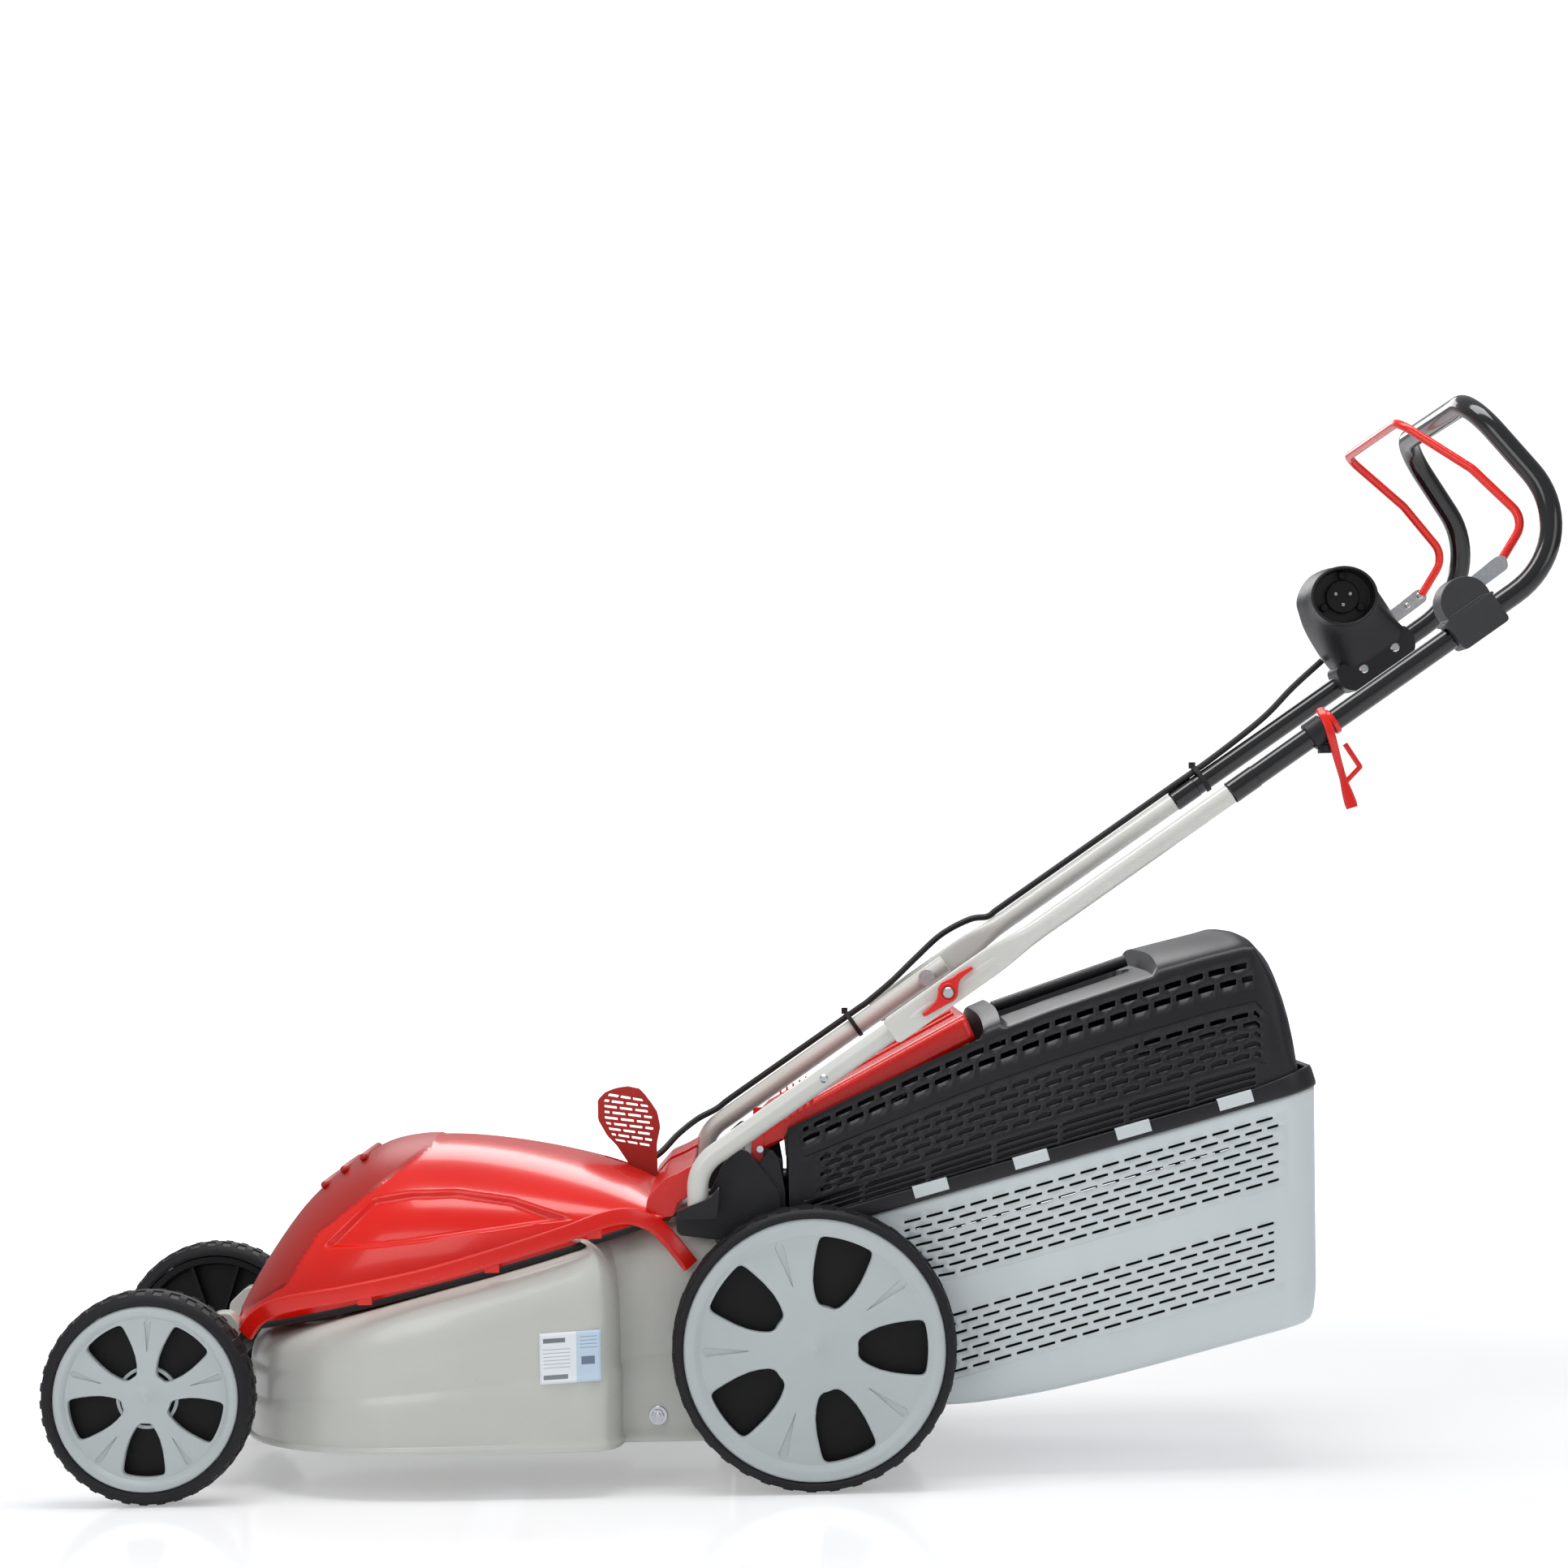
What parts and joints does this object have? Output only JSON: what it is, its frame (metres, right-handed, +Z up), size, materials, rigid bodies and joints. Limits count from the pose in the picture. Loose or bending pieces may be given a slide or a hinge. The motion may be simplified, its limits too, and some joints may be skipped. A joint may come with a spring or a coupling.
{
  "type": "electric rotary lawn mower with grass catcher",
  "caption": "Walk-behind electric rotary mower: pressed deck, red motor hood, folding handle with sprung bail, height lever, windowed wheels and a slotted rear grass catcher.",
  "frame": {"origin": "on the ground, at the middle of the mower's overall length and width", "axes": "+Z up, -Y towards the mower's front, +X towards the operator's left-hand side"},
  "size_m": [0.512, 1.5132, 1.0783],
  "materials": {
    "deck_paint": "satin silver-grey paint",
    "red_gloss": "glossy red moulding",
    "red_satin": "satin darker red moulding",
    "black_moulding": "textured black moulding",
    "lid_moulding": "textured anthracite moulding",
    "tub_moulding": "satin light grey moulding",
    "rim_moulding": "satin blue-grey moulding",
    "tread": "black rubber",
    "tube_paint": "light grey powder coat",
    "black_tube_paint": "gloss black powder coat",
    "zinc": "bright zinc plate",
    "bare_steel": "bare steel",
    "cable_sheath": "black rubber sheath",
    "cap_moulding": "textured dark grey moulding"
  },
  "bodies": {
    "chassis": {"deck": "deck_paint", "motor_hood": "red_gloss", "side_trim_left": "red_gloss", "side_trim_right": "red_gloss", "rear_tunnel": "black_moulding", "tube_socket_left": "black_moulding", "tube_socket_right": "black_moulding", "lower_tube_left": "tube_paint", "lower_tube_right": "tube_paint", "fold_bolt_left": "zinc", "fold_bolt_right": "zinc", "front_bearing_left": "black_moulding", "front_bearing_right": "black_moulding", "rear_bearing_left": "black_moulding", "rear_bearing_right": "black_moulding", "motor_housing": "cap_moulding", "flap_rod": "zinc", "cable_lower": "cable_sheath"},
    "height_lever": {"height_lever": "red_satin"},
    "front_axle": {"front_axle": "zinc"},
    "rear_axle": {"rear_axle": "zinc"},
    "blade_rotor": {"motor_shaft": "bare_steel", "motor_rotor": "bare_steel", "blade_carrier": "black_moulding", "blade": "bare_steel", "blade_bolt": "zinc"},
    "upper_handle": {"upper_tube_left": "tube_paint", "upper_tube_right": "tube_paint", "handle_bar": "black_tube_paint", "pivot_cap": "cap_moulding", "switch_box": "black_moulding", "switch_cover": "black_moulding", "inlet_socket": "black_moulding", "cord_clamp": "black_moulding", "cable_upper": "cable_sheath", "cable_loop": "cable_sheath"},
    "bail": {"bail_wire": "red_gloss", "bail_bracket_left": "zinc", "bail_bracket_right": "zinc"},
    "start_button": {"start_button": "red_gloss"},
    "cam_lever_left": {"cam_lever_left": "red_gloss"},
    "cam_lever_right": {"cam_lever_right": "red_gloss"},
    "rear_flap": {"rear_flap": "red_gloss"},
    "catcher": {"catcher_tub": "tub_moulding", "catcher_lid": "lid_moulding", "catcher_grip": "black_moulding"},
    "cord_hook": {"cord_hook": "red_gloss"},
    "front_wheel_left": {"front_tyre_left": "tread", "front_wheel_core_left": "black_moulding", "front_rim_cover_left": "rim_moulding"},
    "front_wheel_right": {"front_tyre_right": "tread", "front_wheel_core_right": "black_moulding", "front_rim_cover_right": "rim_moulding"},
    "rear_wheel_left": {"rear_tyre_left": "tread", "rear_wheel_core_left": "black_moulding", "rear_rim_cover_left": "rim_moulding"},
    "rear_wheel_right": {"rear_tyre_right": "tread", "rear_wheel_core_right": "black_moulding", "rear_rim_cover_right": "rim_moulding"}
  },
  "joints": [
    {"name": "height_lever_tilt", "type": "hinge", "parent": "chassis", "child": "height_lever", "pos_m": [-0.06, -0.16963, 0.272], "axis": [1, 0, 0], "range_deg": [-6, 14]},
    {"name": "front_axle_turn", "type": "hinge", "parent": "chassis", "child": "front_axle", "pos_m": [0, -0.60063, 0.112], "axis": [1, 0, 0], "range_deg": [-15, 34.5]},
    {"name": "rear_axle_turn", "type": "hinge", "parent": "chassis", "child": "rear_axle", "pos_m": [0, -0.05563, 0.128], "axis": [1, 0, 0], "range_deg": [-29, 13]},
    {"name": "blade_spin", "type": "hinge", "parent": "chassis", "child": "blade_rotor", "pos_m": [0, -0.33263, 0.066], "axis": [0, 0, 1], "continuous": true},
    {"name": "handle_fold", "type": "hinge", "parent": "chassis", "child": "upper_handle", "pos_m": [0, 0.13937, 0.487], "axis": [1, 0, 0], "range_deg": [0, 140], "deforming": ["cable_loop"]},
    {"name": "bail_pull", "type": "hinge", "parent": "upper_handle", "child": "bail", "pos_m": [0, 0.65437, 0.868], "axis": [1, 0, 0], "range_deg": [-14.5, 0], "stiffness_Nm_per_rad": 2, "springref_deg": 14.32},
    {"name": "start_button_press", "type": "slide", "parent": "upper_handle", "child": "start_button", "axis": [1, 0, 0], "range_m": [0, 0.005], "stiffness_N_per_m": 400, "springref_m": -0.002},
    {"name": "cam_lever_left_turn", "type": "hinge", "parent": "chassis", "child": "cam_lever_left", "pos_m": [0.241, 0.13937, 0.487], "axis": [1, 0, 0], "range_deg": [0, 100]},
    {"name": "cam_lever_right_turn", "type": "hinge", "parent": "chassis", "child": "cam_lever_right", "pos_m": [-0.241, 0.13937, 0.487], "axis": [1, 0, 0], "range_deg": [0, 100]},
    {"name": "rear_flap_lift", "type": "hinge", "parent": "chassis", "child": "rear_flap", "pos_m": [0, -0.04763, 0.332], "axis": [1, 0, 0], "range_deg": [0, 55], "stiffness_Nm_per_rad": 0.8, "springref_deg": -28.65},
    {"name": "catcher_pull_out", "type": "slide", "parent": "chassis", "child": "catcher", "axis": [0, 1, 0], "range_m": [0, 0.35]},
    {"name": "cord_hook_swing", "type": "hinge", "parent": "upper_handle", "child": "cord_hook", "pos_m": [0.234, 0.52237, 0.74534], "axis": [0, 0.829, 0.5592], "range_deg": [-60, 60]},
    {"name": "front_wheel_left_spin", "type": "hinge", "parent": "front_axle", "child": "front_wheel_left", "pos_m": [0.219, -0.65163, 0.105], "axis": [1, 0, 0], "continuous": true},
    {"name": "front_wheel_right_spin", "type": "hinge", "parent": "front_axle", "child": "front_wheel_right", "pos_m": [-0.219, -0.65163, 0.105], "axis": [1, 0, 0], "continuous": true},
    {"name": "rear_wheel_left_spin", "type": "hinge", "parent": "rear_axle", "child": "rear_wheel_left", "pos_m": [0.219, 0.00237, 0.14], "axis": [1, 0, 0], "continuous": true},
    {"name": "rear_wheel_right_spin", "type": "hinge", "parent": "rear_axle", "child": "rear_wheel_right", "pos_m": [-0.219, 0.00237, 0.14], "axis": [1, 0, 0], "continuous": true}
  ],
  "couplings": [
    {"joint": "front_axle_turn", "follows": "height_lever_tilt", "ratio": 2.4},
    {"joint": "rear_axle_turn", "follows": "height_lever_tilt", "ratio": -2}
  ]
}
